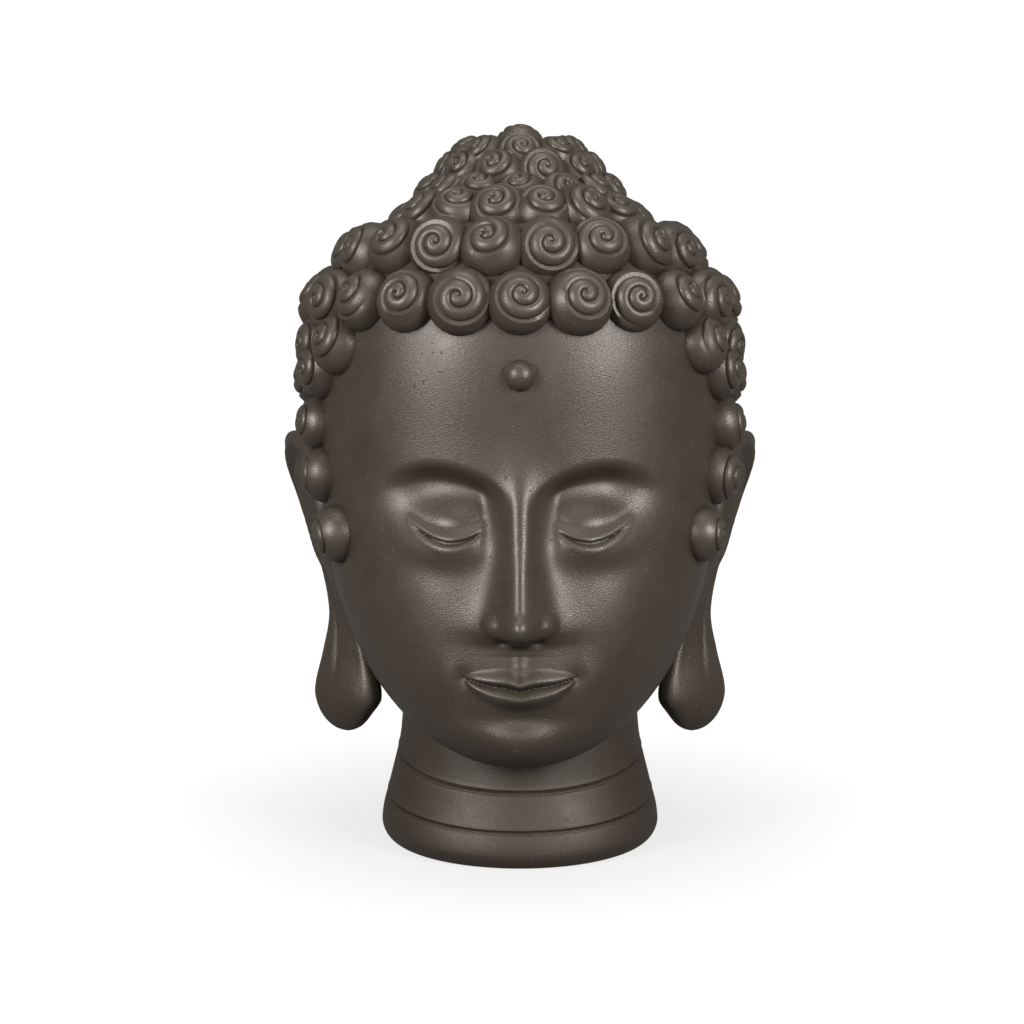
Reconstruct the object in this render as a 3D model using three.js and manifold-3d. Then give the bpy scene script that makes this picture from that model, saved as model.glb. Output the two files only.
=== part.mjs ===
// Buddha head cast in resin, one piece from the crown of curls to the foot of the neck.
// Millimetres, +Z up, the face looks along -Y, and the origin is the centre of the flat underside.
import * as THREE from "three";
import { mergeVertices } from "three/addons/utils/BufferGeometryUtils.js";
import Module from "manifold-3d";

// Heights above the underside: the face is three equal thirds between chin and hairline
const CHIN_Z = 58;
const HAIRLINE_Z = 288;
const WIDEST_Z = 245;
const CROWN_Z = 360;
const THIRD = (HAIRLINE_Z - CHIN_Z) / 3;
const BROW_Z = HAIRLINE_Z - THIRD;
const NOSE_Z = CHIN_Z + THIRD;
const EYE_Z = BROW_Z - THIRD / 4;
const MOUTH_Z = NOSE_Z - THIRD / 3;
const URNA_Z = 270;

// Half sizes of the skull, which is an egg with its chin carried forward
const HALF_WIDTH = 112;
const FRONT_DEPTH = 104;
const BACK_DEPTH = 120;
const CHIN_FORWARD = 70;
const ROUNDNESS = 2.05;

// Face: one eye's width lies between the eyes
const EYE_WIDTH = 38;
const MOUTH_HALF = 29;
const NOSE_REACH = 27;
const URNA_RADIUS = 8.2;
const URNA_RISE = 6.5;

// Neck: heights are measured at the side, and the upper fold dips most towards the front
const NECK_TOP = 118;
const FOLD_HEIGHTS = [26.5, 51.5];
const FOLD_DIP = 10;
const FOLD_DEPTH = 1.9;
const FOLD_HALF = 1.5;
const FOOT_ROUND = 8;
const FOOT_HEIGHT = 11;

// Ears
const EAR_LOW = 60;
const EAR_HIGH = 229;
const EAR_HOLLOW_Z = 178;

// Bun on the crown
const BUN_Y = 8;
const BUN_Z = 343;
const BUN_RADIUS = 46;
const BUN_HEIGHT = 44;

// Curls ring by ring: heights at the hairline and the back, hairline angle, radius, spacing, lean of the axis
const CURL_RINGS = [
  { front: 352, back: 343, from: 0, radius: 16.4, spacing: 31, lean: 50 },
  { front: 334, back: 327, from: 0, radius: 17.6, spacing: 30, lean: 28 },
  { front: 307, back: 303, from: 0, radius: 17.6, spacing: 30.5, lean: 14 },
  { front: 283, back: 275, from: 62, radius: 16.4, spacing: 30, lean: 10 },
  { front: 268, back: 247, from: 73, radius: 16.2, spacing: 32, lean: 6 },
  { front: 237, back: 219, from: 80, radius: 16, spacing: 33, lean: 2 },
  { front: 210, back: 191, from: 75, radius: 16, spacing: 33, lean: 0 },
  { front: 180, back: 163, from: 66, radius: 15.8, spacing: 33, lean: -5 },
  { front: 136, back: 136, from: 120, radius: 15, spacing: 32, lean: -20 },
];
const CROWN_RINGS = 2;
const RING_DROP = { from: 40, over: 45 };
const BACK_GROWTH = { share: 0.2, from: 69, to: 120 };
const EAR_ZONE = { below: 243, from: 81, to: 113 };

// Curls on the bun: reach from its axis, height, number, share of a step they are turned by, radius, lean
const BUN_RINGS = [
  { reach: 46, height: 361, count: 13, turn: 0, radius: 14.5, lean: 50 },
  { reach: 36, height: 373, count: 10, turn: 0.5, radius: 14, lean: 33 },
  { reach: 27, height: 382, count: 8, turn: 0, radius: 13, lean: 53 },
  { reach: 0, height: 388.5, count: 1, turn: 0, radius: 14, lean: 90 },
];

// How finely each surface is faceted
const HEAD_COLUMNS = 40;
const FACE_ROWS = 38;
const BACK_ROWS = 12;
const NECK_COLUMNS = 20;
const NECK_ROWS = 13;
const EAR_COLUMNS = 10;
const EAR_ROWS = 13;
const CURL_SIDES = 6;

const wasm = await Module();
wasm.setup();

const { cos, sin, exp, sqrt, abs, sign, hypot, PI } = Math;
const { clamp, degToRad, lerp } = THREE.MathUtils;

// Rises from 0 to 1 between low and high, also where low is the larger
function smoothstep(low, high, x) {
  const t = clamp((x - low) / (high - low), 0, 1);
  return t * t * (3 - 2 * t);
}

// Bell curve of height 1
function bell(x, width) {
  return exp(-((x / width) ** 2));
}

// The larger of two heights, with a fillet of size k where they meet
function smoothMax(a, b, k) {
  const h = clamp(0.5 + (0.5 * (a - b)) / k, 0, 1);
  return lerp(b, a, h) + k * h * (1 - h);
}

// Half an ellipsoid that rises from low to high about (cx, cz)
function dome(x, z, { cx, cz, rx, rz, low, high }) {
  const q = ((x - cx) / rx) ** 2 + ((z - cz) / rz) ** 2;
  return lerp(low, high, sqrt(clamp(1 - q, 0, 1)));
}

// Smooth curve through (place, value) stations in rising order, level beyond its ends
function curveThrough(stations) {
  const slopes = stations.map((station, i) => {
    const before = stations[Math.max(i - 1, 0)];
    const after = stations[Math.min(i + 1, stations.length - 1)];
    return (after[1] - before[1]) / (after[0] - before[0]);
  });
  return (place) => {
    const at = clamp(place, stations[0][0], stations.at(-1)[0]);
    const next = stations.findIndex((station) => station[0] >= at);
    const i = Math.max(next - 1, 0);
    const step = stations[i + 1][0] - stations[i][0];
    const t = (at - stations[i][0]) / step;
    const ease = t * t * (3 - 2 * t);
    const leave = step * slopes[i] * t * (1 - t) * (1 - t);
    const arrive = step * slopes[i + 1] * t * t * (1 - t);
    return lerp(stations[i][1], stations[i + 1][1], ease) + leave - arrive;
  };
}

// Places from low to high that crowd together where the density is greater
function spread(low, high, count, density) {
  const samples = 2000;
  const sums = [0];
  for (let i = 0; i < samples; i += 1) {
    sums.push(sums[i] + density(lerp(low, high, (i + 0.5) / samples)));
  }
  return Array.from({ length: count }, (_, k) => {
    const wanted = sums[samples] * (k / (count - 1));
    const i = clamp(sums.findIndex((sum) => sum >= wanted), 1, samples);
    const part = (wanted - sums[i - 1]) / (sums[i] - sums[i - 1]);
    return lerp(low, high, (i - 1 + part) / samples);
  });
}

// Closed surface over meridians that run up from one pole to the other, counter-clockwise seen from above.
// Neighbours may differ in their number of points: each triangle climbs the side whose next point is lower.
function shell(lowPole, meridians, highPole) {
  const points = [lowPole, highPole];
  const lines = meridians.map((meridian) => {
    const start = points.length;
    points.push(...meridian);
    return [0, ...meridian.map((_, i) => start + i), 1];
  });
  const index = [];
  const lower = (a, b) => points[a].z < points[b].z || (points[a].z === points[b].z && points[a].x < 0);
  lines.forEach((left, j) => {
    const right = lines[(j + 1) % lines.length];
    let i = 0;
    let k = 0;
    while (i + 1 < left.length || k + 1 < right.length) {
      const climbLeft = k + 1 === right.length || (i + 1 < left.length && lower(left[i + 1], right[k + 1]));
      const next = climbLeft ? left[i + 1] : right[k + 1];
      const corners = new Set([left[i], right[k], next]);
      if (corners.size === 3) index.push(...corners);
      if (climbLeft) i += 1;
      else k += 1;
    }
  });
  return new THREE.BufferGeometry().setFromPoints(points).setIndex(index);
}

// A closed geometry as a solid that can be joined to others
function solidOf(geometry) {
  const bare = geometry.clone();
  bare.deleteAttribute("normal");
  bare.deleteAttribute("uv");
  const merged = mergeVertices(bare, 1e-3);
  const mesh = new wasm.Mesh({
    numProp: 3,
    vertProperties: new Float32Array(merged.attributes.position.array),
    triVerts: new Uint32Array(merged.index.array),
  });
  return new wasm.Manifold(mesh);
}

// A joined solid as a geometry again
function geometryOf(solid) {
  const { vertProperties, triVerts } = solid.getMesh();
  const geometry = new THREE.BufferGeometry();
  geometry.setAttribute("position", new THREE.BufferAttribute(vertProperties, 3));
  geometry.setIndex(new THREE.BufferAttribute(triVerts, 1));
  geometry.computeVertexNormals();
  return geometry;
}

// Point of the bare egg in the direction theta from the front, at height z
function skullPoint(theta, z) {
  const up = clamp((z - WIDEST_Z) / (CROWN_Z - WIDEST_Z), 0, 1);
  const down = clamp((WIDEST_Z - z) / (WIDEST_Z - CHIN_Z), 0, 1);
  const scale = z < WIDEST_Z ? sqrt(1 - down ** 2.7) : (1 - up ** 3) ** 0.39;
  const depth = cos(theta) > 0 ? FRONT_DEPTH : BACK_DEPTH;
  const across = abs(sin(theta)) / HALF_WIDTH;
  const along = abs(cos(theta)) / depth;
  const reach = scale * (across ** ROUNDNESS + along ** ROUNDNESS) ** (-1 / ROUNDNESS);
  return new THREE.Vector3(reach * sin(theta), -reach * cos(theta) - CHIN_FORWARD * down ** 2.6, z);
}

// Broad planes of the face: cheeks, mouth mound, chin and the hollow under the lip
function facePlanes(x, z) {
  const cheek = 5 * bell(x - 50, 30) * bell(z - NOSE_Z - 16, 36);
  const mound = 6 * bell(x, 34) * bell(z - MOUTH_Z - 6, 28);
  const chin = 6 * bell(x, 23) * bell(z - CHIN_Z - 17, 14);
  const hollow = 4 * bell(x, 21) * bell(z - MOUTH_Z + 17.5, 6.5);
  return cheek + mound + chin - hollow;
}

// Arched brow over a hollow socket
function socket(x, z) {
  const brow = BROW_Z + 12 - 14 * ((Math.max(x, 8) - 44) / 38) ** 2;
  const under = smoothstep(-2, 10, brow - z);
  const above = z < EYE_Z + 2 ? bell(z - EYE_Z - 2, 15) : 1;
  const inner = smoothstep(3, 21, x);
  const outer = x > 44 ? bell(x - 44, 20) : 1;
  return -10.5 * under * above * inner * outer;
}

// Lowered lids: a rounded mound with a narrow slit and a rim on either side of it
function lids(x, z) {
  const q = ((x - EYE_WIDTH) / 25) ** 2 + ((z - EYE_Z + 4) / 15) ** 2;
  const mound = 11 * exp(-(q ** 1.4));
  const t = (x - EYE_WIDTH) / (EYE_WIDTH / 2);
  const arc = clamp(1 - t * t, 0, 1);
  const line = EYE_Z - 1 - 6.5 * arc + 1.2 * t;
  const gap = 3 * arc;
  const along = smoothstep(1.22, 0.82, abs(t));
  const slit = smoothstep(-0.6, 1, line - z) * smoothstep(-0.6, 1, z - line + gap);
  const upperRim = 0.9 * bell(z - line - 1.8, 2.2);
  const lowerRim = 0.5 * bell(z - line + gap + 2, 2.4);
  return mound + along * (upperRim + lowerRim - 2 * slit);
}

// Straight nose: a ridge that rises from the brow, a round tip and two wings
const TIP_Z = NOSE_Z + 9;
const noseRidge = curveThrough([
  [NOSE_Z - 9, 0],
  [NOSE_Z - 4, 3],
  [NOSE_Z, 14],
  [TIP_Z - 5, NOSE_REACH - 2.5],
  [TIP_Z, NOSE_REACH],
  [TIP_Z + 9, NOSE_REACH - 2.5],
  [EYE_Z - 14, 16],
  [BROW_Z - 8, 7.5],
  [BROW_Z + 8, 2.5],
  [BROW_Z + 22, 0.5],
  [BROW_Z + 38, 0],
]);
const noseWidth = curveThrough([
  [NOSE_Z - 9, 10.2],
  [TIP_Z, 11.5],
  [EYE_Z - 16, 9.3],
  [EYE_Z, 8],
  [BROW_Z, 8.6],
  [BROW_Z + 26, 10.9],
]);
const NOSE_TIP = { cx: 0, cz: TIP_Z + 0.5, rx: 13.5, rz: 12, low: -20, high: NOSE_REACH + 2 };
const NOSE_WING = { cx: 13, cz: NOSE_Z + 8, rx: 10, rz: 10.5, low: -20, high: 15.5 };

function nose(x, z, ground) {
  const across = 0.7 * bell(x, noseWidth(z)) + 0.3 * bell(x, 2 * noseWidth(z));
  const bridge = ground + noseRidge(z) * across;
  const tipped = smoothMax(bridge, dome(x, z, NOSE_TIP), 7);
  const winged = smoothMax(tipped, dome(x, z, NOSE_WING), 5);
  return winged - 4.5 * bell(x - 8, 4.5) * bell(z - NOSE_Z + 1, 2.2);
}

// Closed lips with corners that lift a little, and the channel above them
function mouth(x, z) {
  const u = clamp(x / MOUTH_HALF, 0, 1);
  const seam = MOUTH_Z + 4.4 * u ** 2.2 - 1.3 * bell(x, 5);
  const upper = 8.6 * (1 - u ** 2) ** 0.75 + 0.6 - 1.6 * bell(x, 3.6);
  const lower = 9.8 * (1 - u ** 2.4) ** 0.75 + 0.6 - 1.3 * bell(x, 5);
  const v = (z - seam) / upper;
  const w = (seam - z) / lower;
  const upperLip = 4.2 * smoothstep(-0.1, 0.45, v) * smoothstep(1.25, 0.35, v);
  const lowerLip = 5 * smoothstep(-0.1, 0.5, w) * smoothstep(1.3, 0.42, w);
  const parting = 1.1 * smoothstep(1.1, 0.85, x / MOUTH_HALF) * bell(z - seam, 1.4);
  const corner = 1.3 * bell(x - MOUTH_HALF - 0.5, 4.5) * bell(z - MOUTH_Z - 4.4, 4.5);
  const dimple = 1.2 * bell(x - MOUTH_HALF - 8, 7) * bell(z - MOUTH_Z - 4, 10);
  const channel = 1.4 * bell(x, 3.6) * smoothstep(8, 13, z - MOUTH_Z) * smoothstep(1, 6, NOSE_Z - z);
  return sqrt(1 - u * u) * (upperLip + lowerLip) - parting - corner + dimple - channel;
}

// How far the face stands forward of the egg
function faceRelief(side, z) {
  const x = abs(side);
  return nose(x, z, facePlanes(x, z) + socket(x, z) + lids(x, z)) + mouth(x, z);
}

// The face is finely faceted, and the back of the head, under the hair, coarsely
function headShell() {
  const columns = spread(-PI, PI, HEAD_COLUMNS + 1, (theta) => 1 + 6 * bell(theta, 0.6)).slice(1);
  const crowding = (z) =>
    1 +
    2.5 * bell(z - EYE_Z, 12) +
    4.5 * bell(z - MOUTH_Z, 12) +
    1.5 * bell(z - TIP_Z, 12) +
    3 * bell(z - CHIN_Z, 8) +
    2.5 * bell(z - CROWN_Z, 20);
  const meridians = columns.map((theta) => {
    const count = Math.round(lerp(FACE_ROWS, BACK_ROWS, smoothstep(0.8, 1.2, abs(theta))));
    return spread(CHIN_Z + 0.5, CROWN_Z - 0.5, count, crowding).map((z) => {
      const point = skullPoint(theta, z);
      point.y -= faceRelief(point.x, z) * smoothstep(0.05, 0.45, cos(theta));
      return point;
    });
  });
  return shell(skullPoint(0, CHIN_Z), meridians, skullPoint(0, CROWN_Z));
}

// Neck with rounded foot, its radius given by the height at the side
const neckRadius = curveThrough([
  [0, 78.2],
  [11, 78.4],
  [19, 77.3],
  [31, 74.2],
  [52, 69],
  [63, 67.2],
  [120, 63],
]);

// Sinking of the foot's rounded edge and of the two folds
function neckSinking(s) {
  const foot = FOOT_ROUND * (1 - sqrt(1 - (1 - clamp(s / FOOT_HEIGHT, 0, 1)) ** 2));
  const folds = FOLD_HEIGHTS.map((fold) => FOLD_DEPTH * bell(s - fold, FOLD_HALF));
  return foot + folds[0] + folds[1];
}

function neckShell() {
  const [lowFold, highFold] = FOLD_HEIGHTS;
  const crowding = (s) => 1 + 3 * bell(s, 5) + 5 * (bell(s - lowFold, 4) + bell(s - highFold, 4));
  const rows = spread(0, NECK_TOP, NECK_ROWS, crowding);
  const meridians = Array.from({ length: NECK_COLUMNS }, (_, j) => {
    const theta = (2 * PI * j) / NECK_COLUMNS;
    return rows.map((s) => {
      const radius = neckRadius(s) - neckSinking(s);
      const height = s - FOLD_DIP * smoothstep(0, FOLD_HEIGHTS[1], s) * cos(theta);
      return new THREE.Vector3(radius * sin(theta), -radius * cos(theta), height);
    });
  });
  return shell(new THREE.Vector3(), meridians, new THREE.Vector3(0, 0, NECK_TOP + FOLD_DIP));
}

// Ear: front and back edge and half thickness at heights from the lobe to the tip
const EAR_STATIONS = [
  { z: EAR_LOW, front: [85, -11], back: [113, 11], half: 8.5 },
  { z: 71, front: [83, -15], back: [115, 13], half: 9.3 },
  { z: 82, front: [79, -19], back: [115.5, 14.5], half: 9.5 },
  { z: 105, front: [84, -14], back: [110, 12], half: 7.5 },
  { z: 128, front: [91, -10], back: [106, 16], half: 6.5 },
  { z: 160, front: [102, -10], back: [113, 30], half: 6 },
  { z: 195, front: [108, -12], back: [126, 44], half: 6 },
  { z: EAR_HIGH, front: [113, 2], back: [139, 36], half: 5.5 },
];
const earCurve = (pick) => curveThrough(EAR_STATIONS.map((station) => [station.z, pick(station)]));
const earFrontX = earCurve((station) => station.front[0]);
const earFrontY = earCurve((station) => station.front[1]);
const earBackX = earCurve((station) => station.back[0]);
const earBackY = earCurve((station) => station.back[1]);
const earHalfThickness = earCurve((station) => station.half);

// Rim, hollow and front flap on the outer side of the ear, and the groove down the lobe
function earRelief(u, z) {
  const ring = hypot(u, (z - 190) / 40);
  const rim = 2.2 * bell(ring - 0.86, 0.13) - 2.6 * bell(ring - 0.64, 0.12);
  const inner = 1.2 * bell(ring - 0.45, 0.1) * smoothstep(-0.2, 0.3, u);
  const hollow = 5.5 * bell(u + 0.18, 0.3) * bell(z - EAR_HOLLOW_Z, 17);
  const flap = 3 * bell(u + 0.72, 0.2) * bell(z - EAR_HOLLOW_Z + 6, 9);
  const groove = 1.4 * bell(u + 0.05, 0.3) * smoothstep(84, 110, z) * smoothstep(165, 145, z);
  return smoothstep(140, 165, z) * (rim + inner - hollow + flap) - groove;
}

function earPoint(phi, s) {
  const c = cos(PI * s);
  const z = (EAR_LOW + EAR_HIGH) / 2 - ((EAR_HIGH - EAR_LOW) / 2) * c;
  const closing = sqrt(1 - abs(c) ** 9);
  const front = new THREE.Vector2(earFrontX(z), earFrontY(z));
  const back = new THREE.Vector2(earBackX(z), earBackY(z));
  const half = back.clone().sub(front).multiplyScalar(0.5 * closing);
  const outward = new THREE.Vector2(half.y, -half.x).normalize();
  const u = cos(phi);
  const n = sin(phi);
  const thickness = sign(n) * abs(n) ** 0.7 * earHalfThickness(z) * closing;
  const relief = smoothstep(0, 0.5, n) * earRelief(u, z) * closing;
  const point = front.add(back).multiplyScalar(0.5).addScaledVector(half, u);
  point.addScaledVector(outward, thickness + relief);
  return new THREE.Vector3(point.x, point.y, z);
}

function earShell() {
  const meridians = Array.from({ length: EAR_COLUMNS }, (_, j) =>
    Array.from({ length: EAR_ROWS }, (_, i) =>
      earPoint((-2 * PI * j) / EAR_COLUMNS, lerp(0.03, 0.97, i / (EAR_ROWS - 1))),
    ),
  );
  return shell(earPoint(0, 0), meridians, earPoint(0, 1));
}

// Round boss on the forehead
function urnaShell() {
  const ball = new THREE.SphereGeometry(URNA_RADIUS, 10, 6).scale(1, URNA_RISE / URNA_RADIUS, 1);
  return ball.translate(0, skullPoint(0, URNA_Z).y, URNA_Z);
}

function bunShell() {
  const ball = new THREE.SphereGeometry(BUN_RADIUS, 16, 10).rotateX(PI / 2);
  return ball.scale(1, 1, BUN_HEIGHT / BUN_RADIUS).translate(0, BUN_Y, BUN_Z);
}

// Share by which the curls are larger towards the back
function growth(theta) {
  const { share, from, to } = BACK_GROWTH;
  return share * smoothstep(degToRad(from), degToRad(to), abs(theta));
}

// Angles that share out one side of a ring, wider apart where the curls are larger
function ringAngles({ back, from, spacing }, first, last) {
  const samples = 400;
  const angles = Array.from({ length: samples + 1 }, (_, i) => lerp(degToRad(from), PI, i / samples));
  const lengths = [0];
  for (let i = 0; i < samples; i += 1) {
    const step = skullPoint(angles[i], back).distanceTo(skullPoint(angles[i + 1], back));
    lengths.push(lengths[i] + step / (1 + growth(angles[i])));
  }
  const steps = Math.round(lengths[samples] / spacing - first - last);
  const pitch = lengths[samples] / (steps + first + last);
  return Array.from({ length: steps + 1 }, (_, k) => {
    const wanted = (k + first) * pitch;
    const i = Math.max(lengths.findIndex((length) => length >= wanted - 1e-6), 1);
    return lerp(angles[i - 1], angles[i], (wanted - lengths[i - 1]) / (lengths[i] - lengths[i - 1]));
  });
}

// Direction that leans up from the horizontal direction (x, y)
function leaning(x, y, lean) {
  const flat = new THREE.Vector3(x, y, 0).setLength(cos(degToRad(lean)));
  return flat.setZ(sin(degToRad(lean)));
}

// Where each curl sits: its centre, its axis and its radius. The rings on the crown sag towards the back.
function skullCurls() {
  return CURL_RINGS.flatMap((ring, k) => {
    const first = k < CROWN_RINGS ? 0.5 : 0;
    const last = k % 2 ? 0.5 : 0;
    const start = degToRad(Math.max(ring.from, RING_DROP.from));
    const end = start + degToRad(RING_DROP.over);
    return ringAngles(ring, first, last).flatMap((theta) => {
      const z = lerp(ring.front, ring.back, smoothstep(start, end, theta));
      const inEarZone = theta > degToRad(EAR_ZONE.from) && theta < degToRad(EAR_ZONE.to);
      if (z < EAR_ZONE.below && inEarZone) return [];
      const seat = k < CROWN_RINGS ? ring.front : z;
      const central = theta < 1e-3 || theta > PI - 1e-3;
      const sides = central ? [theta] : [theta, -theta];
      return sides.map((angle) => {
        const across = skullPoint(angle + 0.01, seat).sub(skullPoint(angle - 0.01, seat));
        const axis = leaning(across.y, -across.x, ring.lean);
        const radius = ring.radius * (1 + growth(angle));
        return { centre: skullPoint(angle, seat).setZ(z), axis, radius };
      });
    });
  });
}

function bunCurls() {
  return BUN_RINGS.flatMap(({ reach, height, count, turn, radius, lean }) =>
    Array.from({ length: count }, (_, i) => {
      const azimuth = (2 * PI * (i + turn)) / count;
      const centre = new THREE.Vector3(reach * sin(azimuth), BUN_Y - reach * cos(azimuth), height);
      return { centre, axis: leaning(sin(azimuth), -cos(azimuth), lean), radius };
    }),
  );
}

// One curl: a faceted knob, sunk so that its rim lies under the surface
const CURL_PROFILE = [
  [0, -1.2],
  [1.6, -0.5],
  [0.64, 0.64],
  [0, 0.8],
].map(([r, h]) => new THREE.Vector2(r, h));

// Its corners point up and down, so that its sides face the neighbours in a staggered row
function curlShell({ centre, axis, radius }) {
  const across = new THREE.Vector3(-axis.y, axis.x, 0);
  if (across.lengthSq() < 1e-6) across.set(1, 0, 0);
  across.normalize();
  const turn = new THREE.Matrix4().makeBasis(across, axis.clone().cross(across), axis);
  const knob = new THREE.LatheGeometry(CURL_PROFILE, CURL_SIDES).rotateX(PI / 2);
  return knob.scale(radius, radius, radius).applyMatrix4(turn.setPosition(centre));
}

// Everything is joined, because the head is one casting
const ear = solidOf(earShell());
const curls = [...skullCurls(), ...bunCurls()].map((place) => solidOf(curlShell(place)));
const shells = [headShell(), neckShell(), bunShell(), urnaShell()].map(solidOf);
const pieces = [...shells, ear, ear.mirror([1, 0, 0]), ...curls];
const casting = pieces.reduce((joined, piece) => joined.add(piece));

const resin = new THREE.MeshStandardMaterial({ color: 0x6b635a, roughness: 0.5, metalness: 0 });
const buddhaHead = new THREE.Mesh(geometryOf(casting), resin);
buddhaHead.name = "buddha_head";

const group = new THREE.Group();
group.add(buddhaHead);

export default group;
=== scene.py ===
import math

import bpy
import numpy as np
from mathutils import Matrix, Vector


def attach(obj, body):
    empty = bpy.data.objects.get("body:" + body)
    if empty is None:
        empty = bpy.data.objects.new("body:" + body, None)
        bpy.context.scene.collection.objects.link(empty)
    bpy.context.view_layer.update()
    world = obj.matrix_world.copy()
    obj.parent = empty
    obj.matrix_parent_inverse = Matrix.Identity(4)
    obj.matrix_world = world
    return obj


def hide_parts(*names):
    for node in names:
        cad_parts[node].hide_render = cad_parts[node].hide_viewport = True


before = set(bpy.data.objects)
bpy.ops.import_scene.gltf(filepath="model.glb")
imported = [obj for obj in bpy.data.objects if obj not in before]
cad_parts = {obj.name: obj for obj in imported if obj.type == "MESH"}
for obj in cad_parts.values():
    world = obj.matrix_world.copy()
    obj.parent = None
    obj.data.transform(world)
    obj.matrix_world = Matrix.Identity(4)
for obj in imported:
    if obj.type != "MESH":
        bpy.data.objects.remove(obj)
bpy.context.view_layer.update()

bl_info = {
    "name": "Resin Buddha head",
    "version": (1, 0, 0),
    "blender": (4, 5, 0),
    "location": "View3D > Sidebar > Buddha head",
    "description": "Cast resin head with spiral curls, long ears and a creased neck, on a pale studio sweep",
    "category": "Add Mesh",
}

MM = 0.001
BODY = "root"
NODE = "buddha_head"
# Exponent of the skull's sections: 2 is an ellipse
ROUNDNESS = 2.05
# Bend above which an edge is shaded as a crease
CREASE = math.radians(48)
# Points along one turn of a curl and across its band
CURL_STEPS = 22
BAND_POINTS = 7
# Turn from one curl to the next, so that no two neighbours match
GOLDEN_ANGLE = math.pi * (3 - math.sqrt(5))
# Neck: radius at heights above the foot, then the foot's rounding and its height
NECK_PROFILE = ((0, 78.2), (11, 78.4), (19, 77.3), (31, 74.2), (52, 69), (63, 67.2), (120, 63))
NECK_TOP = 118
FOOT_ROUND = 8
FOOT_HEIGHT = 11
# Parts of a neck fold: offset from its height, rise and width
FOLD_PARTS = ((1.5, 0.25, 0.9), (0, -1.4, 0.6), (-2.2, -0.35, 0.7))


def length(name, value, text):
    """Length property whose default is given in millimetres."""
    metres = value * MM
    return bpy.props.FloatProperty(name=name, description=text, default=metres, unit="LENGTH", precision=4)


def tint(name, value, text):
    """Colour property."""
    return bpy.props.FloatVectorProperty(name=name, description=text, default=value, subtype="COLOR")


class HeadSizes(bpy.types.PropertyGroup):
    """Sizes of the skull, the face and the neck."""

    chin: length("Chin height", 58, "Height of the underside of the chin above the foot")
    hairline: length("Hairline height", 288, "Height where the face meets the hair")
    widest: length("Widest height", 245, "Height at which the skull is widest")
    crown: length("Crown height", 360, "Top of the skull under the bun")
    half_width: length("Half width", 112, "Half the width of the skull")
    front: length("Front depth", 104, "Depth of the skull in front of the neck's axis")
    back: length("Back depth", 120, "Depth of the skull behind the neck's axis")
    chin_forward: length("Chin forward", 70, "How far the chin is carried forward")
    eye_width: length("Eye width", 38, "Width of one eye, and of the space between the eyes")
    mouth_half: length("Half mouth", 29, "Half the width of the mouth")
    nose_reach: length("Nose reach", 27, "How far the tip of the nose stands out")
    urna_height: length("Boss height", 270, "Height of the boss on the forehead")
    urna_radius: length("Boss radius", 8.2, "Radius of the boss on the forehead")
    fold_low: length("Lower fold", 26.5, "Height of the neck's lower fold at the side")
    fold_high: length("Upper fold", 51.5, "Height of the neck's upper fold at the side")
    fold_dip: length("Fold dip", 10, "How much lower the upper fold lies at the front")


class HairSizes(bpy.types.PropertyGroup):
    """Sizes of the curls and of the bun."""

    bun_back: length("Bun setback", 8, "How far the bun's axis lies behind the neck's axis")
    bun_height: length("Bun foot", 343, "Height of the bun's widest level")
    bun_radius: length("Bun radius", 46, "Radius of the bun under its curls")
    bun_rise: length("Bun rise", 44, "Rise of the bun above its widest level")
    turns: bpy.props.FloatProperty(
        name="Turns", description="Turns of the spiral in one curl", default=2.4, min=1.0, max=4.0
    )


class ResinFinish(bpy.types.PropertyGroup):
    """Colours of the cast resin, with the shade painted into its grooves, between its curls and low on its
    neck.
    """

    body: tint("Body", (0.036, 0.029, 0.0215), "Colour of the resin")
    worn: tint("Worn", (0.075, 0.064, 0.052), "Colour on rubbed ridges")
    # Painted shade: the colour put into grooves and between curls
    recess_shade: tint("Deep", (0.015, 0.012, 0.009), "Colour in grooves and between curls")
    # Painted shade: darker colour low on the neck, where the head shades it
    neck: tint("Neck", (0.02, 0.0135, 0.0085), "Colour low on the neck")
    speck: tint("Specks", (0.14, 0.12, 0.10), "Colour of the pale specks")
    pit: tint("Pits", (0.012, 0.010, 0.008), "Colour in the small pits")
    roughness: bpy.props.FloatProperty(
        name="Roughness", description="Roughness of the satin skin", default=0.42, subtype="FACTOR"
    )


class StudioSetup(bpy.types.PropertyGroup):
    """Camera and lights of the studio."""

    distance: length("Camera distance", 1290, "Distance from the camera to the point it looks at")
    aim: length("Aim height", 185, "Height of the point that the camera looks at")
    elevation: bpy.props.FloatProperty(
        name="Elevation", description="Camera height angle", subtype="ANGLE", default=math.radians(8)
    )
    focal: bpy.props.FloatProperty(
        name="Focal length", description="Lens in millimetres on a 36 mm frame", default=80.9, min=10
    )
    offset: bpy.props.FloatProperty(
        name="Offset", description="Sideways shift of the frame, as a share of its width", default=-0.0078
    )


def smoothstep(low, high, x):
    """Rises from 0 to 1 between low and high, also where low is the larger."""
    t = np.clip((x - low) / (high - low), 0, 1)
    return t * t * (3 - 2 * t)


def bell(x, width):
    """Bell curve of height 1: exp of minus the square of x over the width."""
    return np.exp(-((x / width) ** 2))


def smooth_max(a, b, k):
    """The larger of two heights, with a fillet of size k where they meet."""
    h = np.clip(0.5 + 0.5 * (a - b) / k, 0, 1)
    return b + (a - b) * h + k * h * (1 - h)


def dome(x, z, centre, radii, low, high):
    """Half an ellipsoid over the face that rises from low to high about its centre."""
    q = ((x - centre[0]) / radii[0]) ** 2 + ((z - centre[1]) / radii[1]) ** 2
    return low + (high - low) * np.sqrt(np.clip(1 - q, 0, 1))


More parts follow.
